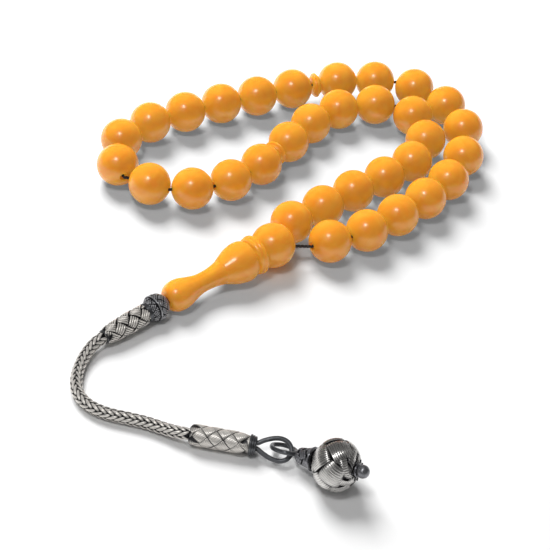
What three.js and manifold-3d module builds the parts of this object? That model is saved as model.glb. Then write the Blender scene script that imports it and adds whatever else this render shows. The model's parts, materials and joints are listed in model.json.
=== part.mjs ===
// Misbaha: a string of 33 prayer beads in three groups of eleven, two divider discs, a three-hole ball with
// its collar ring and turned imame, and a silver tassel of knot, sleeves, foxtail chain and woven ball.
// Millimetres, +Z up. The beads lie on z = 0; x runs to the right and y to the back of the laid-out string.
import * as THREE from 'three';
import { mergeVertices } from 'three/addons/utils/BufferGeometryUtils.js';
import Module from 'manifold-3d';

const wasm = await Module();
wasm.setup();

// ---------------------------------------------------------------------------------------------------------
// Driving dimensions
// ---------------------------------------------------------------------------------------------------------
const beadRadius = 5;
const beadBoreRadius = 0.9;
const beadGap = 0.06;                     // between two neighbouring beads on the string
const beadsPerGroup = 11;
const groupCount = 3;
const dividerRadius = 3.1;
const dividerHubRadius = 2.45;
const dividerLength = 1.9;
const stringRadius = 0.38;

const ballRadius = 5.2;                   // three-hole ball
const ballCentre = new THREE.Vector3(-1.6, -4.0, 5.4);
const bulbCentre = new THREE.Vector3(-19.75, -22.2, 3.7);
const doubleBoreRadius = 1.2;             // holds the two ends of the string side by side
const sideHoleRadius = 1.0;
const strandOffset = 0.5;

const knotRadius = 3.1;
const knotCentre = new THREE.Vector3(-24.9, -27.5, knotRadius);
const upperSleeveRadius = 2.3;                // at its ends; it swells a little and tapers to the chain
const upperSleeveEnd = new THREE.Vector3(-34.6, -38.4, 2.35);
const chainRadius = 1.4;
const lowerSleeveRadius = 2.3;
const lowerSleeveStart = new THREE.Vector3(-12.5, -62.5, lowerSleeveRadius);
const lowerSleeveEnd = new THREE.Vector3(0.9, -63.1, lowerSleeveRadius);
const sleeveWireRadius = 0.55;
const pendantWireRadius = 0.5;
const pendantBallRadius = 5.45;           // across the axis of the woven ball
const pendantBallHalfLength = 4.9;         // along that axis
const pendantCentre = new THREE.Vector3(17.4, -68.1, pendantBallRadius);
const pendantAxis = new THREE.Vector3(0.85, -0.42, 0.32).normalize();
const endBallRadius = 1.4;
const meetingGap = 0.3;                   // between two pieces that touch in the real tassel
const layoutCentre = new THREE.Vector3(0.15, 16.25, 0);   // middle of the beads, imame and upper sleeve

// Centre line of the bead string on the table, from the first bead to the last, as x and y.
const beadRoute = [
  [11.3, 0.8], [19.4, 6.4], [32.8, 21.5], [38.2, 30.0], [41.9, 41.0], [41.6, 52.0], [36.8, 61.2],
  [28.2, 66.8], [17.8, 67.3], [8.0, 64.3], [-11.9, 52.8], [-29.0, 41.5], [-37.0, 34.6], [-42.1, 25.8],
  [-39.8, 16.0], [-30.7, 11.9], [-21.0, 13.2], [-12.6, 19.0], [-6.2, 27.2], [3.9, 45.8], [11.0, 53.5],
  [20.3, 57.0], [29.6, 53.6], [32.2, 44.4], [28.8, 34.8], [15.0, 20.0], [1.9, 5.6],
];
// Extra string showing after these beads, where the beads have slid a little apart.
const slackAfterBead = { 5: 0.9, 6: 1.4, 9: 0.3, 11: 0.8 };

// Centre line of the foxtail chain, from the upper sleeve to the lower one.
const chainRoute = [
  [-34.8, -38.6, 2.34], [-36.3, -40.6, 2.0], [-37.5, -43.6, 1.6], [-38.2, -47.3, 1.42],
  [-38.1, -51.3, 1.42], [-36.9, -55.0, 1.42], [-34.2, -57.8, 1.42], [-30.4, -59.3, 1.42],
  [-26.2, -59.8, 1.42], [-22.0, -60.3, 1.42], [-18.2, -61.3, 1.55], [-15.2, -62.2, 2.0], [-12.8, -62.5, 2.29],
];

// Half of the lower sleeve's wire loop: distance from the sleeve and half width, in its tilted plane.
const sleeveLoopHalf = [[0.3, 0.6], [1.6, 1.35], [3.4, 2.1], [5.2, 2.3], [6.7, 1.6], [7.4, 0]];
const sleeveLoopTilt = 32;                // degrees, its back wire higher

// The pendant's wire loop, threaded through the sleeve's loop: distance from the neck, sideways, height.
const pendantLoopRoute = [
  [0.5, 0.6, 2.2], [1.4, 1.7, 1.5], [2.8, 2.1, 1.1], [4.7, 1.7, 1.0], [5.9, 0.1, 1.6], [5.1, -1.5, 2.6],
  [3.3, -2.1, 3.4], [1.6, -1.9, 3.7], [0.5, -0.6, 3.0],
];

// ---------------------------------------------------------------------------------------------------------
// Materials
// ---------------------------------------------------------------------------------------------------------
const amber = { color: 0xe8961e, roughness: 0.22, metalness: 0 };
const blackString = { color: 0x14110f, roughness: 0.85, metalness: 0 };
const brightSilver = { color: 0xb9b3a9, roughness: 0.38, metalness: 1 };
const darkSilver = { color: 0x4c4d50, roughness: 0.42, metalness: 1 };

// ---------------------------------------------------------------------------------------------------------
// Shape helpers
// ---------------------------------------------------------------------------------------------------------
const misbaha = new THREE.Group();
misbaha.position.copy(layoutCentre).negate();
const latheAxis = new THREE.Vector3(0, 1, 0);

/** Adds one named piece; its local +Y points along `axis` and its origin sits at `centre`. */
function addPiece(name, geometry, finish, centre = new THREE.Vector3(), axis = latheAxis) {
  const mesh = new THREE.Mesh(geometry, new THREE.MeshStandardMaterial(finish));
  mesh.name = name;
  mesh.position.copy(centre);
  mesh.quaternion.setFromUnitVectors(latheAxis, axis.clone().normalize());
  misbaha.add(mesh);
  return mesh;
}

/** Turns a closed outline of [radius, height] points, listed with its outer side upwards, into a solid. */
function turned(outline, segments) {
  const points = outline.map(([radius, height]) => new THREE.Vector2(radius, height));
  return new THREE.LatheGeometry(points, segments);
}

/** Outline points on a circle or ellipse about `centreHeight`, from one angle to another, 0 at its equator. */
function arc(radius, halfHeight, centreHeight, fromDegrees, toDegrees, steps) {
  const points = [];
  for (let i = 0; i <= steps; i += 1) {
    const angle = THREE.MathUtils.degToRad(fromDegrees + ((toDegrees - fromDegrees) * i) / steps);
    points.push([radius * Math.cos(angle), centreHeight + halfHeight * Math.sin(angle)]);
  }
  return points;
}

/** A path of straight lines through its points, which keeps a step of an extrusion on each of them. */
class CornerPath extends THREE.Curve {
  constructor(points) {
    super();
    this.points = points;
  }

  getPoint(t, target = new THREE.Vector3()) {
    const place = THREE.MathUtils.clamp(t, 0, 1) * (this.points.length - 1);
    const index = Math.min(Math.floor(place), this.points.length - 2);
    return target.lerpVectors(this.points[index], this.points[index + 1], place - index);
  }

  getUtoTmapping(u) {
    return u;
  }
}

/** A round wire or cord along a path. */
function tube(path, radius, steps, sides = 8) {
  const section = new THREE.Shape();
  for (let i = 0; i < sides; i += 1) {
    const angle = (2 * Math.PI * i) / sides;
    const x = radius * Math.cos(angle);
    const y = radius * Math.sin(angle);
    if (i === 0) section.moveTo(x, y);
    else section.lineTo(x, y);
  }
  return new THREE.ExtrudeGeometry(section, { steps, extrudePath: path, bevelEnabled: false });
}

function vectors(points) {
  return points.map(([x, y, z]) => new THREE.Vector3(x, y, z));
}

function toSolid(geometry) {
  const bare = geometry.clone();
  bare.deleteAttribute('normal');
  bare.deleteAttribute('uv');
  const merged = mergeVertices(bare, 1e-4);
  return new wasm.Manifold(new wasm.Mesh({
    numProp: 3,
    vertProperties: new Float32Array(merged.attributes.position.array),
    triVerts: new Uint32Array(merged.index.array),
  }));
}

function toGeometry(solid) {
  const mesh = solid.getMesh();
  const geometry = new THREE.BufferGeometry();
  geometry.setAttribute('position', new THREE.BufferAttribute(mesh.vertProperties, mesh.numProp));
  geometry.setIndex(new THREE.BufferAttribute(mesh.triVerts, 1));
  geometry.computeVertexNormals();
  return geometry;
}

/** A cylinder from the origin along `direction`, for drilling. */
function drill(direction, radius, length, startBack = 0) {
  const geometry = new THREE.CylinderGeometry(radius, radius, length + startBack, 12);
  geometry.translate(0, (length - startBack) / 2, 0);
  geometry.applyQuaternion(new THREE.Quaternion().setFromUnitVectors(latheAxis, direction));
  return toSolid(geometry);
}

// ---------------------------------------------------------------------------------------------------------
// Beads and dividers, walked along the route
// ---------------------------------------------------------------------------------------------------------
const beadCurve = new THREE.CatmullRomCurve3(beadRoute.map(([x, y]) => new THREE.Vector3(x, y, beadRadius)));
beadCurve.arcLengthDivisions = 2000;
const walkStep = 0.02 / beadCurve.getLength();

/** The first place along the curve that is `distance` away, in a straight line, from the place `from`. */
function stepAlong(from, distance) {
  const start = beadCurve.getPointAt(from);
  let place = from;
  while (place + walkStep < 1 && beadCurve.getPointAt(place).distanceTo(start) < distance) {
    place += walkStep;
  }
  return place;
}

const beadHalfLength = Math.sqrt(beadRadius ** 2 - beadBoreRadius ** 2);
const mouthAngle = THREE.MathUtils.radToDeg(Math.acos(beadBoreRadius / beadRadius));
const beadShape = turned([
  ...arc(beadRadius, beadRadius, 0, -mouthAngle, mouthAngle, 7),
  [beadBoreRadius, -beadHalfLength],
], 14);

const dividerHalf = dividerLength / 2;
const dividerShape = turned([
  [beadBoreRadius, -dividerHalf],
  [dividerHubRadius, -dividerHalf],
  [dividerHubRadius + 0.2, -0.35],
  [dividerRadius - 0.25, -0.3],
  [dividerRadius, 0.1],
  [dividerRadius - 0.2, 0.55],
  [dividerHubRadius, dividerHalf],
  [beadBoreRadius, dividerHalf],
  [beadBoreRadius, -dividerHalf],
], 16);

const beadPitch = 2 * beadRadius + beadGap;
const overDivider = 2 * beadHalfLength + dividerLength + 2 * beadGap;
const stringPoints = [];
let place = 0;
for (let number = 1; number <= beadsPerGroup * groupCount; number += 1) {
  const centre = beadCurve.getPointAt(place);
  const along = beadCurve.getTangentAt(place);
  addPiece(`bead_${String(number).padStart(2, '0')}`, beadShape, amber, centre, along);
  stringPoints.push(centre.clone().addScaledVector(along, -beadHalfLength));
  stringPoints.push(centre.clone().addScaledVector(along, beadHalfLength));
  if (number === beadsPerGroup * groupCount) break;
  const endsGroup = number % beadsPerGroup === 0;
  const spacing = (endsGroup ? overDivider : beadPitch) + (slackAfterBead[number] ?? 0);
  const next = stepAlong(place, spacing);
  if (endsGroup) {
    const middle = centre.clone().add(beadCurve.getPointAt(next)).multiplyScalar(0.5);
    const across = beadCurve.getPointAt(next).sub(centre);
    addPiece(`divider_${number / beadsPerGroup}`, dividerShape, amber, middle, across);
  }
  place = next;
}

// ---------------------------------------------------------------------------------------------------------
// Three-hole ball, collar ring and imame on one axis
// ---------------------------------------------------------------------------------------------------------
const imameAxis = bulbCentre.clone().sub(ballCentre).normalize();
const sideways = new THREE.Vector3(imameAxis.y, -imameAxis.x, 0).normalize().negate();
const firstMouth = stringPoints[0];
const lastMouth = stringPoints[stringPoints.length - 1];
const towardsFirst = firstMouth.clone().sub(ballCentre).normalize();
const towardsLast = lastMouth.clone().sub(ballCentre).normalize();
if (sideways.dot(towardsFirst) < 0) sideways.negate();
const chamberDepth = 1.6;                 // of the double bore past the ball's centre

const plainBall = toSolid(turned(arc(ballRadius, ballRadius, 0, -90, 90, 14), 24));
const drilledBall = plainBall
  .subtract(drill(imameAxis, doubleBoreRadius, 2 * ballRadius, chamberDepth))
  .subtract(drill(towardsFirst, sideHoleRadius, 2 * ballRadius))
  .subtract(drill(towardsLast, sideHoleRadius, 2 * ballRadius));
addPiece('imame_ball', toGeometry(drilledBall), amber, ballCentre);

const ringSeat = arc(ballRadius + meetingGap, ballRadius + meetingGap, 0, 78, 52, 3);
addPiece('imame_ring', turned([
  ...ringSeat,
  [4.2, 4.45],
  [4.65, 5.0],
  [4.7, 5.6],
  [4.4, 6.3],
  [3.9, 6.75],
  [doubleBoreRadius, 6.75],
  ringSeat[0],
], 24), amber, ballCentre, imameAxis);

addPiece('imame_body', turned([
  [doubleBoreRadius, 7.0],
  [3.9, 7.0],
  [4.5, 7.7],
  [4.75, 9.0],
  [4.65, 10.4],
  [4.25, 12.0],
  [3.6, 13.5],
  [2.95, 15.0],
  [2.55, 16.4],
  [2.3, 18.0],
  [2.2, 20.0],
  [2.3, 21.4],
  [2.65, 22.8],
  [3.0, 24.0],
  [3.4, 25.4],
  [3.58, 26.8],
  [3.45, 28.2],
  [2.85, 29.5],
  [1.9, 30.3],
  [doubleBoreRadius, 29.9],
  [doubleBoreRadius, 7.0],
], 20), amber, ballCentre, imameAxis);

// ---------------------------------------------------------------------------------------------------------
// The string: both ends side by side in the imame, out of the ball by its side holes and through every bead
// ---------------------------------------------------------------------------------------------------------
function strandPoint(distance, side) {
  return ballCentre.clone().addScaledVector(imameAxis, distance).addScaledVector(sideways, side * strandOffset);
}

const strandEnd = 31.6;
const strandDistances = [strandEnd, 24, 16, 8, 1.2];
const firstStrand = strandDistances.map((distance) => strandPoint(distance, 1));
const lastStrand = strandDistances.map((distance) => strandPoint(distance, -1)).reverse();
const holeBend = 2.2;                     // where each strand has reached the axis of its side hole
const stringPath = [
  ...firstStrand,
  ballCentre.clone().addScaledVector(towardsFirst, holeBend),
  ...stringPoints,
  ballCentre.clone().addScaledVector(towardsLast, holeBend),
  ...lastStrand,
];
addPiece('string', tube(new CornerPath(stringPath), stringRadius, stringPath.length - 1), blackString);

// ---------------------------------------------------------------------------------------------------------
// Silver tassel
// ---------------------------------------------------------------------------------------------------------
const upperAxis = upperSleeveEnd.clone().sub(knotCentre).normalize();
const knotFlat = 1.9;                     // the sleeve starts here and covers the rest of the knot
const knotFlatAngle = THREE.MathUtils.radToDeg(Math.asin(knotFlat / knotRadius));
const knotBlank = turned([...arc(knotRadius, knotRadius, 0, -90, knotFlatAngle, 10), [0, knotFlat]], 16);
knotBlank.applyQuaternion(new THREE.Quaternion().setFromUnitVectors(latheAxis, upperAxis));
const pocketBottom = strandPoint(strandEnd + 0.6, 0).sub(knotCentre);
const stringPocket = drill(imameAxis.clone().negate(), doubleBoreRadius, 2 * knotRadius)
  .translate([pocketBottom.x, pocketBottom.y, pocketBottom.z]);
addPiece('tassel_knot', toGeometry(toSolid(knotBlank).subtract(stringPocket)), darkSilver, knotCentre);

const rim = 0.35;                         // height of each sleeve's rounded edge
const upperSleeveStart = knotCentre.clone().addScaledVector(upperAxis, knotFlat + meetingGap);
const upperLength = upperSleeveStart.distanceTo(upperSleeveEnd);
addPiece('upper_sleeve', turned([
  [0, 0],
  [upperSleeveRadius - rim, 0],
  [upperSleeveRadius, rim],
  [upperSleeveRadius + 0.1, upperLength * 0.4],
  [upperSleeveRadius - 0.1, upperLength * 0.75],
  [upperSleeveRadius - 0.4, upperLength - rim],
  [upperSleeveRadius - 2 * rim, upperLength],
  [0, upperLength],
], 20), brightSilver, upperSleeveStart, upperAxis);
const chainPath = new THREE.CatmullRomCurve3(vectors(chainRoute));
addPiece('tassel_chain', tube(chainPath, chainRadius, 20), darkSilver);

const lowerAxis = lowerSleeveEnd.clone().sub(lowerSleeveStart).normalize();
const lowerLength = lowerSleeveStart.distanceTo(lowerSleeveEnd);
addPiece('lower_sleeve', turned([
  [0, 0],
  [lowerSleeveRadius - rim, 0],
  [lowerSleeveRadius, rim],
  [lowerSleeveRadius, lowerLength - rim],
  [lowerSleeveRadius - rim, lowerLength],
  [0, lowerLength],
], 20), brightSilver, lowerSleeveStart, lowerAxis);
const tilt = THREE.MathUtils.degToRad(sleeveLoopTilt);
const loopAcross = new THREE.Vector3(0, Math.cos(tilt), Math.sin(tilt));
const sleeveLoopPoints = [
  ...sleeveLoopHalf,
  ...sleeveLoopHalf.slice(0, -1).reverse().map(([distance, half]) => [distance, -half]),
].map(([distance, half]) => lowerSleeveEnd.clone()
  .addScaledVector(lowerAxis, distance)
  .addScaledVector(loopAcross, half));
const loopSteps = 24;
addPiece('sleeve_loop', tube(new THREE.CatmullRomCurve3(sleeveLoopPoints), sleeveWireRadius, loopSteps),
  darkSilver);

// Pendant: neck, woven ball and end ball on one axis, hung by their own wire loop.
const neckLength = 4;
const neckRoot = pendantBallHalfLength + meetingGap;
const neckTip = neckRoot + neckLength;
addPiece('pendant_neck', turned([
  [0, -neckTip],
  [1.2, -neckTip],
  [1.7, -neckTip + 0.7],
  [1.95, -neckTip + 2.2],
  [2.5, -neckRoot],
  [2.65, -neckRoot + 0.55],
  [1.5, -neckRoot + 0.15],
  [0, -neckRoot],
], 14), darkSilver, pendantCentre, pendantAxis);

addPiece('woven_ball', turned(arc(pendantBallRadius, pendantBallHalfLength, 0, -90, 90, 12), 20),
  brightSilver, pendantCentre, pendantAxis);

const endRingRadius = 1.15;
const endRing = pendantBallHalfLength + 0.1;
const endBallCentre = endRing + 1.1;
addPiece('end_ball', turned([
  [0, endRing],
  [endRingRadius, endRing],
  [endRingRadius, endRing + 0.3],
  ...arc(endBallRadius, endBallRadius, endBallCentre, -32, 90, 7),
], 14), brightSilver, pendantCentre, pendantAxis);

const neckEnd = pendantCentre.clone().addScaledVector(pendantAxis, -neckTip);
const awayFromNeck = new THREE.Vector3(-pendantAxis.x, -pendantAxis.y, 0).normalize();
const neckAcross = new THREE.Vector3(-pendantAxis.y, pendantAxis.x, 0).normalize();
const pendantLoopPoints = pendantLoopRoute.map(([away, side, height]) => new THREE.Vector3()
  .copy(neckEnd)
  .setZ(height)
  .addScaledVector(awayFromNeck, away)
  .addScaledVector(neckAcross, side));
addPiece('pendant_loop', tube(new THREE.CatmullRomCurve3(pendantLoopPoints), pendantWireRadius, loopSteps),
  darkSilver);

export default misbaha;
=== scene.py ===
# %% [markdown]
# # A misbaha laid out on a table
# Thirty-three amber beads on a black cord, two divider discs, a turned imame and a tassel woven of silver
# wire. The solid model says where every piece is and how it moves, so it is loaded first and never moved.
# Each plain solid is then covered by a finer piece in the same place, worked out from a formula.

# %% Load the solid model
import json
import math

import bpy
import numpy as np
from mathutils import Matrix, Vector


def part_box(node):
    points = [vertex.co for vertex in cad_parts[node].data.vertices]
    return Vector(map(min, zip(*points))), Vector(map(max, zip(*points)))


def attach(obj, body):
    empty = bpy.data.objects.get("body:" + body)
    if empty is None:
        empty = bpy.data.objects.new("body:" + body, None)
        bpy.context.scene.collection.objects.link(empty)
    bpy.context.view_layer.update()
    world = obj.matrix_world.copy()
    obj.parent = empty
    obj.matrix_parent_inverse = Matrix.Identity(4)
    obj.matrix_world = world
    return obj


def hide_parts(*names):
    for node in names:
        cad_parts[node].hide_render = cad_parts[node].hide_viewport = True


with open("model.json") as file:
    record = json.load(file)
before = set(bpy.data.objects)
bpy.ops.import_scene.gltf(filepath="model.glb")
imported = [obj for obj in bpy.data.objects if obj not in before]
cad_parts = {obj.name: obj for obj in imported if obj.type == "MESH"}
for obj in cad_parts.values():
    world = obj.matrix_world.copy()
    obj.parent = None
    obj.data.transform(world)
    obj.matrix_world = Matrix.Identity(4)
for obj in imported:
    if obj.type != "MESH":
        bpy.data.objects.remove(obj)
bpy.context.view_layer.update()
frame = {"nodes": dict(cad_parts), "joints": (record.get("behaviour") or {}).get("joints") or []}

MM = 0.001
joints = {joint["child"]: joint for joint in frame["joints"]}
print("pieces in the model:", len(frame["nodes"]), "joints:", len(joints))

# %% [markdown]
# ## The camera
# A long lens, well back and about forty degrees above the table, keeps the beads at the back nearly as large
# as those in front. The camera is also rolled a little, so that the strand lies across the view. It could be
# aimed at a target, but plain angles are easier to read and to change.

# %% Camera
CAMERA_PLACE = Vector((-0.3, -315.8, 257.7)) * MM
CAMERA_DOWN = math.radians(41.46)
CAMERA_ROLL = math.radians(8.17)
LENS_MM = 111.6

camera_data = bpy.data.cameras.new("camera")
camera_data.lens = LENS_MM
camera_data.sensor_width = 36
camera_data.clip_start = 0.01
camera = bpy.data.objects.new("camera", camera_data)
bpy.context.scene.collection.objects.link(camera)
look = Matrix.Rotation(math.radians(90) - CAMERA_DOWN, 4, "X") @ Matrix.Rotation(CAMERA_ROLL, 4, "Z")
camera.matrix_world = Matrix.Translation(CAMERA_PLACE) @ look
bpy.context.scene.camera = camera
print("camera at", [round(x, 3) for x in CAMERA_PLACE])

# %% [markdown]
# ## Lines and sections
# Nearly every piece here is a section carried along a line: a wire, a strip, a cord or a turned profile.
# Three small helpers do it with whole arrays: one draws a smooth line through a few points, one spaces
# points evenly on it, and one carries a section along it. An upward direction is given for each line, so
# sections don't twist.

# %% Lines and sections
def unit(vectors):
    return vectors / np.linalg.norm(vectors, axis=-1, keepdims=True)


def smooth_line(points, per_span=8, closed=False):
    """Catmull-Rom curve: between points b and c, half of 2b + (c-a)t + (2a-5b+4c-d)t2 + (3b-a-3c+d)t3."""
    p = np.asarray(points, float)
    if closed:
        padded = np.concatenate([p[-1:], p, p[:2]])
    else:
        padded = np.concatenate([2 * p[:1] - p[1:2], p, 2 * p[-1:] - p[-2:-1]])
    a, b, c, d = padded[:-3, None], padded[1:-2, None], padded[2:-1, None], padded[3:, None]
    t = (np.arange(per_span) / per_span)[None, :, None]
    curve = 0.5 * (2 * b + (c - a) * t + (2 * a - 5 * b + 4 * c - d) * t**2 + (3 * b - a - 3 * c + d) * t**3)
    curve = curve.reshape(-1, p.shape[1])
    return curve if closed else np.concatenate([curve, p[-1:]])


def distances(line):
    """Length along the line up to each of its points."""
    steps = np.linalg.norm(np.diff(line, axis=0), axis=1)
    return np.concatenate([[0.0], np.cumsum(steps)])


def even_line(line, step):
    """The same line with its points an equal distance apart, about `step`."""
    along = distances(line)
    wanted = np.linspace(0, along[-1], max(2, int(round(along[-1] / step)) + 1))
    return np.stack([np.interp(wanted, along, line[:, k]) for k in range(line.shape[1])], axis=1)


def ahead_of(line, closed=False):
    """Unit direction of the line at each of its points: towards the next point, away from the one before."""
    if closed:
        return unit(np.roll(line, -1, axis=-2) - np.roll(line, 1, axis=-2))
    return unit(np.gradient(line, axis=-2))


def sweep(line, up, section, closed=False):
    """Section carried along a line: each point is line + side x + top y, with side = ahead x up."""
    ahead = ahead_of(line, closed)
    side = unit(np.cross(ahead, np.broadcast_to(up, line.shape)))
    top = np.cross(side, ahead)
    section = np.asarray(section)
    x, y = section[..., 0, None], section[..., 1, None]
    return line[..., :, None, :] + side[..., :, None, :] * x + top[..., :, None, :] * y


def ring(radius, sides, flat=1.0):
    """Points round a circle, or an ellipse when `flat` is below one."""
    angle = 2 * np.pi * np.arange(sides) / sides
    return np.stack([radius * np.cos(angle), radius * flat * np.sin(angle)], axis=1)


# %% [markdown]
# ## From grids to meshes
# A swept surface is a grid of points. Its faces join each point to the next along and the next round, and
# flat caps close the ends of open tubes. One call turns a grid, or a stack of equal grids, into an object,
# lets it ride on its body and hides the plain solid that it stands for.

# %% Grids to meshes
def grid_faces(rows, columns, wrap_rows):
    """Quads (i, j), (i+1, j), (i+1, j+1), (i, j+1); columns always close on themselves."""
    i, j = np.meshgrid(np.arange(rows if wrap_rows else rows - 1), np.arange(columns), indexing="ij")
    below, right = (i + 1) % rows, (j + 1) % columns
    quads = [i * columns + j, below * columns + j, below * columns + right, i * columns + right]
    return np.stack(quads, axis=-1).reshape(-1, 4)


def surface_lay(grid):
    """For each point: millimetres along the grid (shrunk), millimetres across it (stretched), and 0, so that
    a noise read there comes out as streaks along the piece."""
    along = np.linalg.norm(np.diff(grid, axis=-3), axis=-1).mean(-1, keepdims=True)
    across = np.linalg.norm(np.diff(grid, axis=-2), axis=-1)
    start = np.zeros(grid.shape[:-3] + (1, 1))
    along = np.concatenate([start, np.cumsum(along, axis=-2)], axis=-2)
    across = np.concatenate([np.zeros(grid.shape[:-2] + (1,)), np.cumsum(across, axis=-1)], axis=-1)
    along = np.broadcast_to(along, grid.shape[:-1])
    return np.stack([along * 0.5, across * 9.0, np.zeros(grid.shape[:-1])], axis=-1)


def surface_grain(grid, wrap):
    """For each point: the unit direction in which the piece was drawn or rolled, along its grid."""
    if wrap:
        steps = np.roll(grid, -1, axis=-3) - np.roll(grid, 1, axis=-3)
    else:
        steps = np.gradient(grid, axis=-3)
    return steps / np.maximum(np.linalg.norm(steps, axis=-1, keepdims=True), 1e-9)


def mesh_from_grids(name, grids):
    """One mesh from a list of (points, wrap, relief): points is (..., rows, columns, 3) in mm, each open
    grid is capped at both ends, and relief says for each point how far it stands out, from 0 to 1."""
    points, faces, reliefs, lays, grains, start = [], [], [], [], [], 0
    for grid, wrap, relief in grids:
        rows, columns = grid.shape[-3:-1]
        lays.append(surface_lay(grid).reshape(-1, 3))
        grains.append(surface_grain(grid, wrap).reshape(-1, 3))
        stack = grid.reshape(-1, rows * columns, 3)
        base = start + np.arange(len(stack)) * rows * columns
        quads = grid_faces(rows, columns, wrap)
        faces += (base[:, None, None] + quads).reshape(-1, 4).tolist()
        if not wrap:
            first = np.arange(columns)
            last = np.arange(columns)[::-1] + (rows - 1) * columns
            faces += (base[:, None] + first).tolist() + (base[:, None] + last).tolist()
        points.append(stack.reshape(-1, 3))
        reliefs.append(np.broadcast_to(relief, grid.shape[:-1]).reshape(-1))
        start += stack.shape[0] * rows * columns
    mesh = bpy.data.meshes.new(name)
    mesh.from_pydata((np.concatenate(points) * MM).tolist(), [], faces)
    layer = mesh.attributes.new("relief", "FLOAT", "POINT")
    layer.data.foreach_set("value", np.concatenate(reliefs).astype(np.float32))
    for attribute, values in (("lay", lays), ("grain", grains)):
        layer = mesh.attributes.new(attribute, "FLOAT_VECTOR", "POINT")
        layer.data.foreach_set("vector", np.concatenate(values).astype(np.float32).ravel())
    mesh.shade_smooth()
    mesh.update()
    return mesh


def place(name, grids, material, body, slot, replaced=None):
    """Makes the object, and says which body it rides on, its finish and which solid it stands for."""
    mesh = mesh_from_grids(name, grids)
    mesh.materials.append(material)
    piece = bpy.data.objects.new(name, mesh)
    bpy.context.scene.collection.objects.link(piece)
    piece.visible_diffuse = slot != "amber_resin"
    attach(piece, body)
    if replaced:
        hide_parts(replaced)
    return piece


def across_axes(axis):
    """Two directions square to an axis and to each other."""
    axis = unit(np.asarray(axis, float))
    helper = np.array([0.0, 0.0, 1.0]) if abs(axis[2]) < 0.9 else np.array([1.0, 0.0, 0.0])
    first = unit(np.cross(helper, axis))
    return first, np.cross(axis, first)


def turned(profile, centre, axis, sides=48):
    """Surface of revolution: centre + axis h + radius (first cos u + second sin u), for a closed profile
    of (radius, h) that runs up its outer side."""
    first, second = across_axes(axis)
    axis = unit(np.asarray(axis, float))
    angle = 2 * np.pi * np.arange(sides) / sides
    spoke = np.cos(angle)[:, None] * first + np.sin(angle)[:, None] * second
    radius, height = profile[:, 0], profile[:, 1]
    return centre + height[:, None, None] * axis + radius[:, None, None] * spoke[None]


def box_centre(node):
    low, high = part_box(node)
    return (np.array(low) + np.array(high)) / 2 / MM


print("helpers ready")

# %% [markdown]
# ## Weaving round a turned shape
# The two silver sleeves, the knot, the pendant's ball and its neck are each one strand, woven over and
# under itself round a solid core, as a sailor weaves a Turk's head. Strand by strand modelling by hand
# would take hours, but the path has a short formula: it winds steadily round while it swings end to end,
# and it dips at every crossing.

# %% Turk's head weave
ROUNDING = 0.985
PRESS = 0.12                              # small: the strand lies flat between crossings


def barrel(places, radii):
    """A sleeve whose radius is drawn through a few values."""
    def surface(along):
        return np.interp(along, places, radii), along, np.zeros_like(along)
    return surface


def globe(radius, flat=1.0):
    """A ball by distance along its meridian: radius cos(a), height flat radius sin(a), lean a."""
    def surface(along):
        angle = along / radius
        return np.maximum(radius * np.cos(angle), 0.15), flat * radius * np.sin(angle), angle
    return surface


def turks_head(surface, half, bights, leads, lift, section, rows):
    """Strand around = pi q / bights, along = half asin(k cos(pi q / leads)) / asin(k), with crossings at
    every whole q. It stands out by lift w with w = cos(pi q) pressed flat, and w changes its sign with the
    direction of travel."""
    q = 2 * bights * leads * np.arange(rows) / rows
    around = np.pi * q / bights
    along = -half * np.arcsin(ROUNDING * np.cos(np.pi * q / leads)) / np.arcsin(ROUNDING)
    swing = np.sin(np.pi * q / leads)
    wave = np.cos(np.pi * q) * np.sqrt((1 + PRESS) / (np.cos(np.pi * q) ** 2 + PRESS))
    height = lift * wave * swing / np.sqrt(swing**2 + 0.02)
    round_step = surface(along)[0] * np.pi / bights
    along_step = (np.roll(along, -1) - np.roll(along, 1)) * rows / (4 * bights * leads)
    size = np.hypot(round_step, along_step)
    u, out, edge = section[None, :, 0], section[None, :, 1], section[None, :, 2]
    at_along = along[:, None] - u * (round_step / size)[:, None]
    radius, level, lean = surface(at_along)
    at_around = around[:, None] + u * (along_step / size)[:, None] / radius
    stand = height[:, None] + out
    relief = edge * np.clip(0.5 + 0.5 * height / lift, 0, 1)[:, None]
    return at_around, level + stand * np.sin(lean), radius + stand * np.cos(lean), relief


def onto_axis(around, level, radius, centre, axis):
    """Turns angle, height on the axis and radius into points in space."""
    first, second = across_axes(axis)
    axis = unit(np.asarray(axis, float))
    spoke = np.cos(around)[..., None] * first + np.sin(around)[..., None] * second
    return centre + level[..., None] * axis + radius[..., None] * spoke


def ribbon(width, thickness, ridges):
    """Flat strip with `ridges` fine wires on its outer face: y = thickness (0.2 + 0.3 |sin(ridge)|),
    less a rounding at its edges."""
    share = np.linspace(1, -1, 4 * ridges + 1)
    crest = np.abs(np.sin(np.pi * ridges * (share + 1) / 2))
    top = 0.2 * thickness + 0.3 * thickness * crest - 0.4 * thickness * np.abs(share) ** 7
    face = np.stack([share * width / 2, top, 0.55 + 0.45 * crest - 0.55 * np.abs(share) ** 9], axis=1)
    back = np.array([[-width / 2, -thickness / 2, 0], [width / 2, -thickness / 2, 0]])
    return np.concatenate([back, face])


def wire_bundle(count, spacing, radius, sides):
    """Sections of round wires side by side, shining on their outer side only."""
    middles = (np.arange(count) - (count - 1) / 2) * spacing
    turn = 2 * np.pi * np.arange(sides) / sides
    shine = np.clip(0.2 + 0.9 * np.sin(turn), 0, 1)
    across, out = radius * np.cos(turn), radius * np.sin(turn)
    return [np.stack([middle + across, out, shine], axis=1) for middle in middles]


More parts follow.
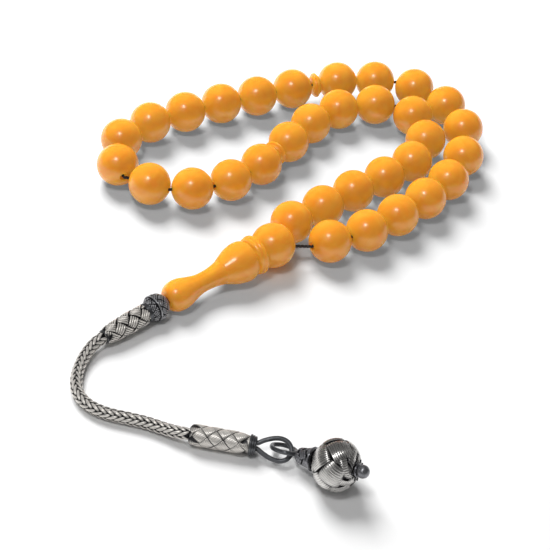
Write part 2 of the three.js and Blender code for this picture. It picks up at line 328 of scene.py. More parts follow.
def woven_grids(centre, axis, sections, rows, start=0.0, **weave):
    """Grids of the strand for each section of it, with the whole weave turned by `start` round its axis."""
    grids = []
    for section in sections:
        around, level, radius, relief = turks_head(section=section, rows=rows, **weave)
        grids.append((onto_axis(around + start, level, radius, centre, axis), True, relief))
    return grids


print("weave ready")

# %% [markdown]
# ## Amber resin
# The beads are cast resin coloured like butterscotch amber: light goes a little way in, so the shaded side
# glows instead of going grey, and a smooth polish gives one small soft highlight. A plain orange plastic
# would look dead, so the material mixes cloudy colour, light under the surface, very faint polishing marks,
# and a faint painted glow, an emission that lifts the shaded side in place of light let through from the far
# side. The beads stay out of the light that bounces on the table, because their orange would stain the white
# around them.

# %% Materials made of nodes
def new_material(name):
    material = bpy.data.materials.new(name)
    material.use_nodes = True
    return material, material.node_tree.nodes, material.node_tree.links


def mix_colours(nodes, links, amount, low, high):
    mix = nodes.new("ShaderNodeMix")
    mix.data_type = "RGBA"
    links.new(amount, mix.inputs["Factor"])
    for socket, colour in (("A", low), ("B", high)):
        target = [i for i in mix.inputs if i.name == socket and i.type == "RGBA"][0]
        if isinstance(colour, tuple):
            target.default_value = (*colour, 1)
        else:
            links.new(colour, target)
    return [o for o in mix.outputs if o.type == "RGBA"][0]


def noise(nodes, links, vector, scale, detail=2.0, distortion=0.0):
    texture = nodes.new("ShaderNodeTexNoise")
    texture.inputs["Scale"].default_value = scale
    texture.inputs["Detail"].default_value = detail
    texture.inputs["Distortion"].default_value = distortion
    links.new(vector, texture.inputs["Vector"])
    return texture.outputs["Fac"]


def spread(nodes, links, value, low, high, out_low=0.0, out_high=1.0):
    """Stretches value from the range low..high to out_low..out_high."""
    node = nodes.new("ShaderNodeMapRange")
    for socket, number in zip(node.inputs[1:5], (low, high, out_low, out_high)):
        socket.default_value = number
    links.new(value, node.inputs["Value"])
    return node.outputs["Result"]


def bump(nodes, links, height, distance, strength):
    node = nodes.new("ShaderNodeBump")
    node.inputs["Distance"].default_value = distance
    node.inputs["Strength"].default_value = strength
    links.new(height, node.inputs["Height"])
    return node.outputs["Normal"]


def amber_resin():
    material, nodes, links = new_material("amber_resin")
    shader = nodes["Principled BSDF"]
    place = nodes.new("ShaderNodeTexCoord").outputs["Object"]
    clouds = spread(nodes, links, noise(nodes, links, place, 170, 3, 1.2), 0.35, 0.65)
    links.new(mix_colours(nodes, links, clouds, AMBER_DEEP, AMBER_PALE), shader.inputs["Base Color"])
    marks = noise(nodes, links, place, 1500, 4)
    links.new(spread(nodes, links, marks, 0.3, 0.7, 0.20, 0.27), shader.inputs["Roughness"])
    links.new(bump(nodes, links, marks, 0.00002, 0.25), shader.inputs["Normal"])
    shader.inputs["IOR"].default_value = 1.54
    shader.inputs["Subsurface Weight"].default_value = 0.8
    shader.inputs["Subsurface Radius"].default_value = (1.0, 0.32, 0.1)
    shader.inputs["Subsurface Scale"].default_value = 0.0042
    # Emission: a painted glow that lifts the shaded side of every amber piece, in place of light let through.
    shader.inputs["Emission Color"].default_value = (*AMBER_PAINTED_GLOW, 1)
    shader.inputs["Emission Strength"].default_value = PAINTED_GLOW_STRENGTH
    shader.inputs["Coat Weight"].default_value = 0.25
    shader.inputs["Coat Roughness"].default_value = 0.12
    return material


AMBER_PALE = (0.80, 0.37, 0.03)
AMBER_DEEP = (0.77, 0.30, 0.018)
# Colour and strength of the painted glow, an emission on every amber piece.
AMBER_PAINTED_GLOW = (0.90, 0.33, 0.035)
PAINTED_GLOW_STRENGTH = 0.15
amber = amber_resin()
print("material:", amber.name)

# %% [markdown]
# ## Oxidised silver
# Silver tassels are blackened in a bath and then rubbed, so the raised wires shine and the hollows stay
# dark. Every woven grid already carries a `relief` value from its own shape, and the material uses it: low
# places get the dark oxide, high places the bright metal. Brushing follows the strand, by the `lay` of each
# surface, and `grain` stretches its reflections across the strand, so strips that cross look brighter and
# darker.

# %% Silver
BRUSHED, ACROSS_GRAIN = 0.75, 0.25        # strength, and a quarter turn from the grain


def silver(name, bright, dark, rubbed_from, rubbed_to, roughness, metal):
    """Metal between `dark` and `bright`, as relief goes from rubbed_from to rubbed_to."""
    material, nodes, links = new_material(name)
    shader = nodes["Principled BSDF"]
    relief = nodes.new("ShaderNodeAttribute")
    relief.attribute_name = "relief"
    lay = nodes.new("ShaderNodeAttribute")
    lay.attribute_name = "lay"
    place = nodes.new("ShaderNodeTexCoord").outputs["Object"]
    brushing = noise(nodes, links, lay.outputs["Vector"], 1.0, 3)
    patches = noise(nodes, links, place, 420, 2)
    wear = nodes.new("ShaderNodeMath")
    wear.operation = "MULTIPLY_ADD"
    links.new(patches, wear.inputs[0])
    wear.inputs[1].default_value = 0.30
    links.new(relief.outputs["Fac"], wear.inputs[2])
    rubbed = spread(nodes, links, wear.outputs[0], rubbed_from + 0.15, rubbed_to + 0.15)
    streaked = spread(nodes, links, brushing, 0.3, 0.7, 0.62, 1.0)
    tone = nodes.new("ShaderNodeMath")
    tone.operation = "MULTIPLY"
    links.new(rubbed, tone.inputs[0])
    links.new(streaked, tone.inputs[1])
    links.new(mix_colours(nodes, links, tone.outputs[0], dark, bright), shader.inputs["Base Color"])
    shader.inputs["Metallic"].default_value = metal
    grain = nodes.new("ShaderNodeAttribute")
    grain.attribute_name = "grain"
    facing = nodes.new("ShaderNodeVectorTransform")
    facing.vector_type = "VECTOR"
    facing.convert_from = "OBJECT"
    facing.convert_to = "WORLD"
    links.new(grain.outputs["Vector"], facing.inputs["Vector"])
    links.new(facing.outputs["Vector"], shader.inputs["Tangent"])
    shader.inputs["Anisotropic"].default_value = BRUSHED
    shader.inputs["Anisotropic Rotation"].default_value = ACROSS_GRAIN
    links.new(spread(nodes, links, brushing, 0.3, 0.7, roughness - 0.06, roughness + 0.08),
              shader.inputs["Roughness"])
    links.new(bump(nodes, links, brushing, 0.00004, 0.5), shader.inputs["Normal"])
    return material


DARK_OXIDE = (0.02, 0.02, 0.023)
bright_silver = silver("bright_silver", (0.99, 0.945, 0.885), DARK_OXIDE, 0.28, 0.72, 0.38, 0.62)
grey_silver = silver("grey_silver", (0.86, 0.84, 0.81), DARK_OXIDE, 0.3, 0.75, 0.27, 1.0)
knot_silver = silver("knot_silver", (0.56, 0.56, 0.58), DARK_OXIDE, 0.35, 0.85, 0.32, 0.75)
smoked_silver = silver("smoked_silver", (0.30, 0.30, 0.32), DARK_OXIDE, 0.25, 0.75, 0.3, 0.85)
dark_silver = silver("dark_silver", (0.15, 0.155, 0.165), DARK_OXIDE, 0.1, 0.6, 0.34, 0.8)
print("materials:", bright_silver.name, grey_silver.name, knot_silver.name, smoked_silver.name,
      dark_silver.name)


# %% [markdown]
# ## Black string
# The beads hang on a waxed black nylon cord of three twisted plies, which shows wherever two beads have
# slid apart. The twist is real geometry, so the material only adds fine fibres along each ply.

# %% String material
def waxed_string():
    material, nodes, links = new_material("black_string")
    shader = nodes["Principled BSDF"]
    lay = nodes.new("ShaderNodeAttribute")
    lay.attribute_name = "lay"
    fibres = noise(nodes, links, lay.outputs["Vector"], 1.4, 3)
    links.new(mix_colours(nodes, links, fibres, (0.006, 0.005, 0.005), (0.03, 0.026, 0.022)),
              shader.inputs["Base Color"])
    links.new(bump(nodes, links, fibres, 0.00004, 0.6), shader.inputs["Normal"])
    shader.inputs["Roughness"].default_value = 0.62
    return material


string_black = waxed_string()
print("material:", string_black.name)

# %% [markdown]
# ## The foxtail chain
# The tassel hangs on a foxtail chain: loops of silver wire looped through one another, which show as six
# columns of slanting strokes that meet in chevrons. Real loops would be hidden inside for most of their
# length, so only the showing strokes are made, over a dark core, and they go on a little way inside both
# sleeves.

# %% Chain route
LAYOUT_MIDDLE = np.array([0.15, 16.25, 0.0])


def at(*place):
    """A place in the strand's own layout, moved to the model's origin."""
    return np.array(place) - LAYOUT_MIDDLE


CHAIN_ROUTE = [
    (-34.8, -38.6, 2.34), (-36.3, -40.6, 2.0), (-37.5, -43.6, 1.6), (-38.2, -47.3, 1.42),
    (-38.1, -51.3, 1.42), (-36.9, -55.0, 1.42), (-34.2, -57.8, 1.42), (-30.4, -59.3, 1.42),
    (-26.2, -59.8, 1.42), (-22.0, -60.3, 1.42), (-18.2, -61.3, 1.55), (-15.2, -62.2, 2.0),
    (-12.8, -62.5, 2.29),
]
CHAIN_RADIUS = 1.4
chain_line = even_line(smooth_line(np.array(CHAIN_ROUTE) - LAYOUT_MIDDLE, 24), 0.25)

# %% Foxtail strokes
COLUMNS, STROKE_PITCH, STROKE_REACH = 6, 1.55, 2.7
CHAIN_WIRE = 0.37
CHAIN_TWIST = math.radians(1.6)
TUCKED = 0.9                              # how far the strokes go on inside each sleeve
start_step, end_step = chain_line[0] - chain_line[1], chain_line[-1] - chain_line[-2]
stroke_line = np.concatenate([
    [chain_line[0] + TUCKED * unit(start_step)], chain_line, [chain_line[-1] + TUCKED * unit(end_step)],
])
stroke_length = distances(stroke_line)[-1]


def chain_place(distance, angle, radius):
    """Point = line + radius (cos(angle) side + sin(angle) top), by interpolation along the chain."""
    along = distances(stroke_line)
    ahead = ahead_of(stroke_line)
    side = unit(np.cross(ahead, [0.0, 0.0, 1.0]))
    top = np.cross(side, ahead)
    pick = [np.stack([np.interp(distance, along, a[:, k]) for k in range(3)], axis=-1)
            for a in (stroke_line, side, top)]
    spoke = np.cos(angle)[..., None] * pick[1] + np.sin(angle)[..., None] * pick[2]
    return pick[0] + radius[..., None] * spoke, spoke


def foxtail(rings=8, sides=7):
    """Stroke t from -0.5 to 0.5: distance = middle + reach t, angle = middle + slant t, and it bulges out
    by cos(pi t) so that both of its ends dive under its neighbours."""
    t = np.linspace(-0.5, 0.5, rings)
    rows = np.arange(1, int(stroke_length / STROKE_PITCH) * 2) * STROKE_PITCH / 2
    grids = []
    for column in range(COLUMNS):
        slant = 1 if column % 2 else -1
        middles = rows[column % 2::2]
        distance = np.clip(middles[:, None] + STROKE_REACH * t, 0, stroke_length)
        angle = 2 * np.pi * (column + 0.5) / COLUMNS + slant * t * 2 * np.pi / COLUMNS * 1.05
        angle = angle + CHAIN_TWIST * distance
        radius = CHAIN_RADIUS - 0.7 * CHAIN_WIRE - 0.24 * (1 - np.cos(np.pi * t)) + 0 * distance
        line, spoke = chain_place(distance, angle, radius)
        thickness = 0.62 + 0.38 * np.cos(np.pi * t)
        section = ring(CHAIN_WIRE, sides, 0.7)[None] * thickness[:, None, None]
        grid = sweep(line, spoke, section[None])
        high = np.clip(0.2 + 0.8 * np.sin(2 * np.pi * np.arange(sides) / sides), 0, 1)
        relief = np.broadcast_to(high * np.maximum(np.cos(np.pi * t), 0)[:, None] ** 0.5, grid.shape[:-1])
        grids.append((grid, False, relief))
    return grids


core = sweep(chain_line, [0.0, 0.0, 1.0], ring(CHAIN_RADIUS - 0.4, 12))
chain = place("foxtail_chain", foxtail() + [(core, False, 0.0)], bright_silver, "root", "dark_silver",
              "tassel_chain")
print("chain faces:", len(chain.data.polygons))

# %% [markdown]
# ## The string
# The cord runs from the imame through every bead and back. Its plies are three round strands carried along
# the same line, each turned a third of the way round and winding as it goes, the way rope is laid.

# %% String
BEAD_RADIUS, BORE_RADIUS = 5.0, 0.9
BALL_CENTRE = at(-1.6, -4.0, 5.4)
BULB_CENTRE = at(-19.75, -22.2, 3.7)
BALL_RADIUS = 5.2
imame_axis = unit(BULB_CENTRE - BALL_CENTRE)
bead_names = ["bead_%02d" % number for number in range(1, 34)]
bead_centres = np.array([box_centre(name) for name in bead_names])
bead_axes = np.array([joints[name]["axis"] for name in bead_names])
for index, name in enumerate(bead_names):
    if joints[name]["type"] == "hinge":
        bead_centres[index] = np.array(joints[name]["pos_m"]) / MM
half_bore = math.sqrt(BEAD_RADIUS**2 - BORE_RADIUS**2)
mouths = np.stack([bead_centres - half_bore * bead_axes, bead_centres + half_bore * bead_axes], axis=1)
mouths = mouths.reshape(-1, 3)

STRAND_OFFSET, STRAND_END, HOLE_BEND = 0.5, 31.6, 2.2
strand_side = unit(np.cross([0.0, 0.0, 1.0], imame_axis))
towards_first, towards_last = unit(mouths[0] - BALL_CENTRE), unit(mouths[-1] - BALL_CENTRE)
if strand_side @ towards_first < 0:
    strand_side = -strand_side


def strand_in_imame(side):
    along = np.array([STRAND_END, 24, 16, 8, 1.2])[:, None]
    return BALL_CENTRE + along * imame_axis + side * STRAND_OFFSET * strand_side


string_points = np.concatenate([
    strand_in_imame(1), [BALL_CENTRE + HOLE_BEND * towards_first], mouths,
    [BALL_CENTRE + HOLE_BEND * towards_last], strand_in_imame(-1)[::-1],
])
PLY_RADIUS, PLY_OFFSET, PLY_PITCH = 0.185, 0.195, 2.6


def laid_plies(line, count=3, sides=6):
    """Ply k follows line + offset (cos(a) side + sin(a) up), a = 2 pi (distance / pitch + k / count)."""
    up = np.array([0.0, 0.0, 1.0])
    side = unit(np.cross(ahead_of(line), up))
    grids = []
    for ply in range(count):
        turn = (2 * np.pi * (distances(line) / PLY_PITCH + ply / count))[:, None]
        strand = line + PLY_OFFSET * (np.cos(turn) * side + np.sin(turn) * up)
        grids.append((sweep(strand, up, ring(PLY_RADIUS, sides)), False, 1.0))
    return grids


string_line = even_line(string_points, 0.32)
place("string_laid", laid_plies(string_line), string_black, "root", "black_string", "string")
print("string length: %.0f mm" % distances(string_line)[-1])

# %% [markdown]
# ## The beads
# Each bead is turned on a lathe and drilled, and the mouth of the drilling is broken with a tiny chamfer so
# the string doesn't fray. A sphere primitive has no hole, so the bead is a closed profile carried round its
# own axis: out over the ball, in over the chamfer, and back down the bore.

# %% Beads
def bead_profile(radius, bore, rows=30):
    """Arc radius (cos a, sin a) from mouth to mouth, then a small chamfer and the bore."""
    mouth = bore + 0.22
    widest = math.acos(mouth / radius)
    angle = np.linspace(-widest, widest, rows)
    outer = np.stack([radius * np.cos(angle), radius * np.sin(angle)], axis=1)
    end = outer[-1, 1]
    bore_side = np.array([[bore + 0.06, 0.04], [bore, -0.16]])
    top = bore_side + [0, end]
    bottom = (bore_side * [1, -1] - [0, end])[::-1]
    return np.concatenate([outer, top, bottom])


for name, centre, axis in zip(bead_names, bead_centres, bead_axes):
    grid = turned(bead_profile(BEAD_RADIUS, BORE_RADIUS), centre, axis)
    place("amber_" + name, [(grid, True, 1.0)], amber, name, "amber_resin", name)
print("beads:", len(bead_names))

# %% [markdown]
# ## The divider discs
# After each eleven beads sits a thin disc, turned with a raised flange between two flat hubs, which the
# fingers feel while counting. Its profile is drawn by a few points and smoothed, so every edge catches the
# light.

# %% Dividers
DIVIDER_RADIUS, DIVIDER_HUB, DIVIDER_HALF = 3.1, 2.45, 0.95
DIVIDER_OUTLINE = [
    (BORE_RADIUS + 0.15, -DIVIDER_HALF), (DIVIDER_HUB - 0.35, -DIVIDER_HALF), (DIVIDER_HUB, -0.72),
    (DIVIDER_HUB + 0.1, -0.45), (DIVIDER_RADIUS - 0.35, -0.34), (DIVIDER_RADIUS - 0.06, -0.15),
    (DIVIDER_RADIUS, 0.05), (DIVIDER_RADIUS - 0.08, 0.26), (DIVIDER_RADIUS - 0.4, 0.42),
    (DIVIDER_HUB + 0.1, 0.5), (DIVIDER_HUB, 0.75), (DIVIDER_HUB - 0.35, DIVIDER_HALF),
    (BORE_RADIUS + 0.15, DIVIDER_HALF), (BORE_RADIUS, DIVIDER_HALF - 0.15),
    (BORE_RADIUS, 0.15 - DIVIDER_HALF),
]
for name in ("divider_1", "divider_2"):
    grid = turned(smooth_line(DIVIDER_OUTLINE, 4, closed=True), np.array(joints[name]["pos_m"]) / MM,
                  joints[name]["axis"])
    place("amber_" + name, [(grid, True, 1.0)], amber, name, "amber_resin", name)
print("dividers: 2")

# %% [markdown]
# ## The imame
# The imame is the long handle bead that ends the strand. It is three turned pieces on one axis: a ball with
# three holes where both ends of the string come together, a collar ring, and the waisted body. They stay
# three objects, because each of them turns by itself on the string.

# %% Imame ring and body
DOUBLE_BORE = 1.2
seat = np.radians(np.linspace(78, 52, 8))
RING_OUTLINE = np.concatenate([
    5.5 * np.stack([np.cos(seat), np.sin(seat)], axis=1),
    smooth_line([(3.7, 4.25), (4.2, 4.42), (4.55, 4.8), (4.7, 5.3), (4.62, 5.62), (4.45, 5.78), (4.5, 6.0),
                 (4.42, 6.35), (4.15, 6.66), (3.7, 6.75)], 4),
    [(DOUBLE_BORE + 0.1, 6.75), (DOUBLE_BORE, 6.65), (DOUBLE_BORE, 5.5)],
])
BODY_OUTLINE = np.concatenate([
    smooth_line([(1.3, 7.0), (3.0, 7.0), (3.85, 7.03), (4.25, 7.3), (4.5, 7.8), (4.7, 8.4), (4.77, 9.2),
                 (4.66, 10.3), (4.25, 12.0), (3.6, 13.5), (3.0, 14.8)], 5),
    [(2.9, 15.0), (2.81, 15.06), (2.78, 15.18)],
    smooth_line([(2.8, 15.32), (2.5, 16.6), (2.3, 18.0), (2.22, 19.8), (2.3, 21.3), (2.62, 22.8), (3.0, 24.1),
                 (3.4, 25.4), (3.59, 26.8), (3.46, 28.2), (2.95, 29.35), (2.3, 30.0), (1.6, 30.3)], 5),
    [(DOUBLE_BORE + 0.08, 30.28), (DOUBLE_BORE, 30.1), (DOUBLE_BORE, 24.0), (DOUBLE_BORE, 13.0),
     (DOUBLE_BORE, 7.1)],
])
for name, outline in (("imame_ring", RING_OUTLINE), ("imame_body", BODY_OUTLINE)):
    grid = turned(np.asarray(outline), BALL_CENTRE, imame_axis, 64)
    place("amber_" + name, [(grid, True, 1.0)], amber, name, "amber_resin", name)
print("imame axis:", imame_axis.round(3))


# %% [markdown]
# The ball's two side holes meet its long bore at an angle, so no single profile turned on a lathe can have
# them. Here the ball is turned as a plain sphere, and its long bore and side holes are drilled the way a
# workshop does it: three thin rods are taken away by a Boolean modifier, and the result is kept as
# plain mesh.

# %% Three-hole ball
SIDE_HOLE = 1.0
CHAMBER_DEPTH = 1.6


def temporary(name, grid):
    piece = bpy.data.objects.new(name, mesh_from_grids(name, [(grid, False, 1.0)]))
    bpy.context.scene.collection.objects.link(piece)
    return piece


def rod(direction, radius, start, length):
    line = BALL_CENTRE + np.linspace(start, start + length, 3)[:, None] * direction
    up = across_axes(direction)[0]
    return sweep(line, up, ring(radius, 32))


latitude = np.radians(np.linspace(-89, 89, 44))
ball_profile = BALL_RADIUS * np.stack([np.cos(latitude), np.sin(latitude)], axis=1)
blank = temporary("ball_blank", turned(ball_profile, BALL_CENTRE, (0, 0, 1), 72))
drills = [
    temporary("long_bore", rod(imame_axis, DOUBLE_BORE, -CHAMBER_DEPTH, 10)),
    temporary("first_hole", rod(towards_first, SIDE_HOLE, 0.02, 8)),
    temporary("last_hole", rod(towards_last, SIDE_HOLE, 0.03, 8)),
]
for drill in drills:
    cut = blank.modifiers.new(drill.name, "BOOLEAN")
    cut.object = drill
    cut.solver = "EXACT"
drilled = bpy.data.meshes.new_from_object(blank.evaluated_get(bpy.context.evaluated_depsgraph_get()))
for helper in [blank, *drills]:
    bpy.data.objects.remove(helper)
drilled.name = "amber_imame_ball"
drilled.shade_smooth()
drilled.set_sharp_from_angle(angle=math.radians(35))
drilled.materials.clear()
drilled.materials.append(amber)
ball = bpy.data.objects.new("amber_imame_ball", drilled)
bpy.context.scene.collection.objects.link(ball)
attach(ball, "root")
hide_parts("imame_ball")
print("ball faces:", len(drilled.polygons))

# %% [markdown]
# ## The knot and the upper sleeve
# Where the strand ends, its cord is tied off inside a ball knotted of fine dark wire, and a sleeve woven of
# four bright wires side by side holds the knot to the chain. Both are Turk's heads: the same weave, on a
# round core for the knot and a barrel that tapers to the chain for the sleeve. Two rings make the knot's
# dark groove.

# %% Knot
KNOT_CENTRE = at(-24.9, -27.5, 3.1)
UPPER_END = at(-34.6, -38.4, 2.35)
KNOT_RADIUS = 3.1
upper_axis = unit(UPPER_END - KNOT_CENTRE)


def ball_grid(radius, centre, axis, low=-89.0, high=89.0, sides=40, flat=1.0, rows=24):
    """A sphere, or one squeezed along its axis: radius cos(a) out and flat radius sin(a) along."""
    angle = np.radians(np.linspace(low, high, rows))
    profile = radius * np.stack([np.cos(angle), flat * np.sin(angle)], axis=1)
    return turned(profile, centre, axis, sides)


def rim(centre, axis, radius, wire, sides=72):
    """A ring of round wire about the axis."""
    one, two = across_axes(axis)
    angle = 2 * np.pi * np.arange(sides)[:, None] / sides
    line = centre + radius * (np.cos(angle) * one + np.sin(angle) * two)
    return sweep(line, axis, ring(wire, 8), closed=True)


knot = woven_grids(KNOT_CENTRE, upper_axis, wire_bundle(3, 0.35, 0.15, 6), 1100,
                   surface=globe(KNOT_RADIUS - 0.34), half=3.95, bights=9, leads=10, lift=0.17)
knot.append((ball_grid(KNOT_RADIUS - 0.55, KNOT_CENTRE, upper_axis), False, 0.0))
GROOVE_RINGS = [(0.62, 0.07, 0.13, 0.95), (0.92, 0.16, 0.2, 0.0)]     # offset, depth, wire, shine
for offset, sunk, wire, shine in GROOVE_RINGS:
    wide = math.sqrt(KNOT_RADIUS**2 - offset**2) - sunk
    knot.append((rim(KNOT_CENTRE + offset * upper_axis, upper_axis, wide, wire), True, shine))
place("knot_woven", knot, knot_silver, "root", "dark_silver", "tassel_knot")
print("knot radius:", KNOT_RADIUS)

# %% Upper sleeve
UPPER_START_GAP = 2.2
upper_start = KNOT_CENTRE + UPPER_START_GAP * upper_axis
upper_half = np.linalg.norm(UPPER_END - upper_start) / 2
upper_middle = (UPPER_END + upper_start) / 2
UPPER_PLACES = np.array([-1.0, -0.85, -0.2, 0.5, 0.85, 1.0]) * upper_half
UPPER_RADII = np.array([2.05, 2.3, 2.42, 2.22, 1.95, 1.7])
UPPER_LIFT, UPPER_WIRE = 0.2, 0.21
under = UPPER_RADII - UPPER_LIFT - UPPER_WIRE
upper = woven_grids(upper_middle, upper_axis, wire_bundle(4, 0.46, UPPER_WIRE, 8), 840,
                    surface=barrel(UPPER_PLACES, under), half=upper_half - 0.75,
                    bights=4, leads=7, lift=UPPER_LIFT)
core_outline = np.stack([under - 0.2, UPPER_PLACES], axis=1)
core_outline = np.concatenate([[[0.02, -upper_half]], core_outline, [[0.02, upper_half]]])
upper.append((turned(core_outline, upper_middle, upper_axis, 32), False, 0.22))
place("upper_sleeve_woven", upper, bright_silver, "root", "bright_silver", "upper_sleeve")
collars = [(rim(upper_start + d * upper_axis, upper_axis, 1.9 + 0.2 * d, 0.22), True, 0.7)
           for d in (0.1, 0.45, 0.8)]
collars.append((rim(UPPER_END - 0.2 * upper_axis, upper_axis, 1.45, 0.2), True, 0.5))
place("upper_sleeve_collars", collars, dark_silver, "root", "dark_silver")
print("upper sleeve: %.1f mm" % (2 * upper_half))

# %% [markdown]
# ## The lower sleeve and its loop
# The second sleeve is woven of flat strips, each pressed from several fine wires, so its diamonds look broad
# and brushed. A short plain tube under each end shows in the gaps between the turns; it is coloured lighter
# than the core, painted light that makes those shaded gaps less dark. A loop of plain dark wire comes out
# of it and goes through the pendant's own loop, so the pendant can swing. The two loops ride on different
# bodies.

# %% Lower sleeve
LOWER_START, LOWER_END = at(-12.5, -62.5, 2.3), at(0.9, -63.1, 2.3)
lower_axis = unit(LOWER_END - LOWER_START)
lower_half = np.linalg.norm(LOWER_END - LOWER_START) / 2
lower_middle = (LOWER_END + LOWER_START) / 2


def rod_between(start, end, radius, sides=32):
    """A plain round bar from start to end."""
    line = np.linspace(start, end, 6)
    return sweep(line, across_axes(end - start)[0], ring(radius, sides))


LOWER_PLACES = np.array([-1.0, -0.8, 0.6, 0.85, 1.0]) * lower_half
LOWER_RADII = np.array([1.86, 2.0, 2.0, 1.8, 1.5])
lower = woven_grids(lower_middle - 0.7 * lower_axis, lower_axis, [ribbon(2.22, 0.26, 6)], 840,
                    surface=barrel(LOWER_PLACES, LOWER_RADII), half=lower_half - 1.55,
                    bights=4, leads=7, lift=0.16)
lower.append((rod_between(LOWER_START + 0.3 * lower_axis, LOWER_END, 1.7), False, 0.28))
LINING_FROM, LINING_TO = 0.1, 1.4
# The end tubes carry a lighter tone (relief 0.55) than the core (0.28): painted light in the shaded gaps.
for foot, radius in ((LOWER_START, 1.88), (LOWER_END - 2.3 * lower_axis, 1.8)):
    shade_lifting_lining = rod_between(foot + LINING_FROM * lower_axis, foot + LINING_TO * lower_axis, radius)
    lower.append((shade_lifting_lining, False, 0.55))
place("lower_sleeve_woven", lower, bright_silver, "root", "bright_silver", "lower_sleeve")
ends = [(rim(LOWER_END - d * lower_axis, lower_axis, 1.6 + 0.32 * d, 0.3), True, 0.6)
        for d in (0.15, 0.6, 1.05)]
ends.append((rim(LOWER_START + 0.25 * lower_axis, lower_axis, 1.5, 0.25), True, 0.6))
place("lower_sleeve_ends", ends, dark_silver, "root", "dark_silver")
print("lower sleeve: %.1f mm" % (2 * lower_half))

# %% Sleeve loop
SLEEVE_LOOP_HALF = np.array([
    (-1.0, 0.5), (0.3, 0.6), (1.6, 1.35), (3.4, 2.1), (5.2, 2.3), (6.7, 1.6), (7.4, 0),
])
SLEEVE_WIRE, LOOP_TILT = 0.51, math.radians(32)
loop_across = np.array([0, math.cos(LOOP_TILT), math.sin(LOOP_TILT)])
loop_sides = np.concatenate([SLEEVE_LOOP_HALF, SLEEVE_LOOP_HALF[-2::-1] * [1, -1]])
loop_points = LOWER_END + loop_sides[:, :1] * lower_axis + loop_sides[:, 1:] * loop_across
loop_line = even_line(smooth_line(loop_points, 10), 0.25)
loop_up = np.cross(lower_axis, loop_across)
place("sleeve_loop_wire", [(sweep(loop_line, loop_up, ring(SLEEVE_WIRE, 14)), False, 0.75)], dark_silver,
      "root", "dark_silver", "sleeve_loop")
print("loop wire: %.1f mm" % distances(loop_line)[-1])

# %% [markdown]
# ## The pendant
# The pendant is a ball plaited from one broad strip of silver, a Turk's head of three leads and five bights
# on a round core, so its patches are large and curved. The same weave makes it, measured along the meridian
# of the ball instead of along a sleeve, which keeps the strip's width true all the way to the poles.

# %% Woven ball
PENDANT_CENTRE = at(17.4, -68.1, 5.45)
PENDANT_RADIUS, PENDANT_HALF = 5.45, 4.9
pendant_axis = unit(np.array([0.85, -0.42, 0.32]))
BALL_LIFT, STRIP_WIDTH, STRIP_THICKNESS = 0.26, 4.7, 0.3
PATTERN_TURN = math.radians(20)
strip_radius = PENDANT_RADIUS - BALL_LIFT - STRIP_THICKNESS / 2
squeeze = PENDANT_HALF / PENDANT_RADIUS
strips = woven_grids(PENDANT_CENTRE, pendant_axis, [ribbon(STRIP_WIDTH, STRIP_THICKNESS, 10)], 640,
                     start=PATTERN_TURN, surface=globe(strip_radius, squeeze),
                     half=strip_radius * math.radians(61), bights=5, leads=3, lift=BALL_LIFT)
inner = ball_grid(PENDANT_RADIUS - 0.8, PENDANT_CENTRE, pendant_axis, flat=squeeze)
strips.append((inner, False, 0.12))
place("woven_ball_strips", strips, grey_silver, "pendant", "bright_silver", "woven_ball")
print("woven ball: %.1f by %.1f mm" % (2 * PENDANT_RADIUS, 2 * PENDANT_HALF))

# %% [markdown]
# ## The pendant's neck, end ball and loop
# Dark strips cross and fold round a short cone between the ball and its loop, and a small cast ball closes
# the other end, with the cut wire ends showing round its foot. The loop is one wire that leaves the neck,
# passes through the sleeve's loop and comes back.

# %% Neck and end ball
NECK_ROOT, NECK_TIP = 5.2, 9.2
neck_middle = PENDANT_CENTRE - pendant_axis * (NECK_ROOT + NECK_TIP) / 2
NECK_HALF = (NECK_TIP - NECK_ROOT) / 2


def cone(along):
    """The neck by distance from its middle, its narrow end away from the ball."""
    radius = np.interp(along, [-2.0, -1.3, 0.2, 1.4, 2.0], [1.05, 1.4, 1.62, 1.95, 2.2])
    return radius, np.clip(along, -NECK_HALF, NECK_HALF), np.zeros_like(along)


neck = woven_grids(neck_middle, pendant_axis, [ribbon(1.5, 0.26, 3)], 320,
                   surface=cone, half=NECK_HALF - 0.3, bights=3, leads=4, lift=0.22)
neck_profile = np.array([
    (0.02, -1.95), (0.9, -1.9), (1.25, -1.3), (1.45, 0.2), (1.8, 1.4), (2.0, 1.95), (0.02, 2.0),
])
neck.append((turned(neck_profile, neck_middle, pendant_axis, 32), False, 0.1))
neck.append((rim(neck_middle + 1.75 * pendant_axis, pendant_axis, 2.3, 0.26), True, 0.8))
neck.append((rim(neck_middle - 1.7 * pendant_axis, pendant_axis, 1.15, 0.2), True, 0.7))
place("pendant_neck_folded", neck, smoked_silver, "pendant", "dark_silver", "pendant_neck")

END_RADIUS = 1.4
end_foot = PENDANT_CENTRE + 5.0 * pendant_axis
end_centre = PENDANT_CENTRE + 6.1 * pendant_axis
end_parts = [(ball_grid(END_RADIUS, end_centre, pendant_axis, sides=36, rows=20), False, 0.8),
             (rim(end_foot, pendant_axis, 1.25, 0.22, 40), True, 0.7)]
end_one, end_two = across_axes(pendant_axis)
for stub in range(7):
    turn = 2 * math.pi * stub / 7 + 0.35 * math.sin(5.0 * stub)
    spoke = math.cos(turn) * end_one + math.sin(turn) * end_two
    start = end_foot - 0.25 * pendant_axis + 1.2 * spoke
    stub_line = np.stack([start, start + 0.5 * spoke + 0.12 * pendant_axis, start + 1.0 * spoke])
    end_parts.append((sweep(stub_line, pendant_axis, ring(0.19, 8)), False, 0.4))
place("end_ball_cast", end_parts, smoked_silver, "pendant", "dark_silver", "end_ball")
print("end ball radius:", END_RADIUS)

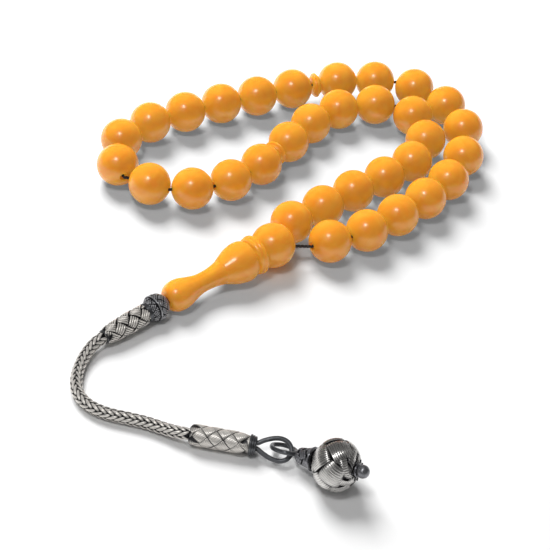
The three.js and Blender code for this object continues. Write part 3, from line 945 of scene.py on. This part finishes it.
# %% Pendant loop
PENDANT_WIRE = 0.46
PENDANT_LOOP_ROUTE = np.array([
    (-0.7, 0.5, 2.6), (0.5, 0.6, 2.2), (1.4, 1.7, 1.5), (2.8, 2.1, 1.1), (4.7, 1.7, 1.0), (5.9, 0.1, 1.6),
    (5.1, -1.5, 2.6),
    (3.3, -2.1, 3.4), (1.6, -1.9, 3.7), (0.5, -0.6, 3.0), (-0.7, -0.4, 2.8),
])
neck_end = PENDANT_CENTRE - NECK_TIP * pendant_axis
away = unit(np.array([-pendant_axis[0], -pendant_axis[1], 0]))
aside = unit(np.array([-pendant_axis[1], pendant_axis[0], 0]))
pendant_points = (neck_end * [1, 1, 0] + PENDANT_LOOP_ROUTE[:, :1] * away + PENDANT_LOOP_ROUTE[:, 1:2] * aside
                  + PENDANT_LOOP_ROUTE[:, 2:] * [0, 0, 1])
pendant_line = even_line(smooth_line(pendant_points, 10), 0.25)
loop_normal = unit(np.cross(pendant_points[3] - pendant_points[5], pendant_points[7] - pendant_points[5]))
place("pendant_loop_wire", [(sweep(pendant_line, loop_normal, ring(PENDANT_WIRE, 14)), False, 0.75)],
      dark_silver, "pendant", "dark_silver", "pendant_loop")
print("pendant wire: %.1f mm" % distances(pendant_line)[-1])

# %% [markdown]

# %% [markdown]
# ## Table and light
# The strand lies on a white table in a small studio. A wide lamp behind the left shoulder of the strand
# throws its soft shadows forward and to the right. A small lamp near the camera puts one round highlight on
# every bead, a broad dim panel beside it lights the silver, and a bright room fills the shadows.

# %% Table
def table():
    material, nodes, links = new_material("white_table")
    shader = nodes["Principled BSDF"]
    place_on = nodes.new("ShaderNodeTexCoord").outputs["Object"]
    grain = noise(nodes, links, place_on, 60, 2)
    links.new(mix_colours(nodes, links, grain, (0.86, 0.86, 0.86), (0.88, 0.88, 0.88)),
              shader.inputs["Base Color"])
    shader.inputs["Roughness"].default_value = 0.9
    shader.inputs["Specular IOR Level"].default_value = 0.1
    mesh = bpy.data.meshes.new("table")
    half = 3.0
    corners = [(-half, -half, 0), (half, -half, 0), (half, half, 0), (-half, half, 0)]
    mesh.from_pydata(corners, [], [(0, 1, 2, 3)])
    mesh.materials.append(material)
    floor = bpy.data.objects.new("table", mesh)
    bpy.context.scene.collection.objects.link(floor)
    return floor


table()


def soft_lamp(name, direction, distance, size, power, shows_in_gloss=True):
    """Square lamp at `distance` metres along `direction`, facing the strand."""
    data = bpy.data.lights.new(name, "AREA")
    data.size = size
    data.energy = power
    lamp = bpy.data.objects.new(name, data)
    bpy.context.scene.collection.objects.link(lamp)
    aim = Vector(direction).normalized()
    lamp.matrix_world = Matrix.Translation(aim * distance) @ aim.to_track_quat("Z", "Y").to_matrix().to_4x4()
    lamp.visible_glossy = shows_in_gloss
    return lamp


soft_lamp("shadow_lamp", (-0.42, 0.62, 0.78), 0.9, 0.5, 12.0, shows_in_gloss=False)
soft_lamp("highlight_lamp", look.to_3x3() @ Vector((-0.15, 0.47, 0.87)), 0.55, 0.11, 0.6)
soft_lamp("front_panel", look.to_3x3() @ Vector((-0.25, 0.35, 0.9)), 0.75, 0.5, 0.55)
ROOM_LIGHT = 0.14
room = bpy.data.worlds.new("room")
room.use_nodes = True
room.node_tree.nodes["Background"].inputs["Color"].default_value = (1.0, 1.0, 1.0, 1.0)
room.node_tree.nodes["Background"].inputs["Strength"].default_value = ROOM_LIGHT
bpy.context.scene.world = room
bpy.context.scene.view_settings.view_transform = "Standard"
print("lamps: 3")
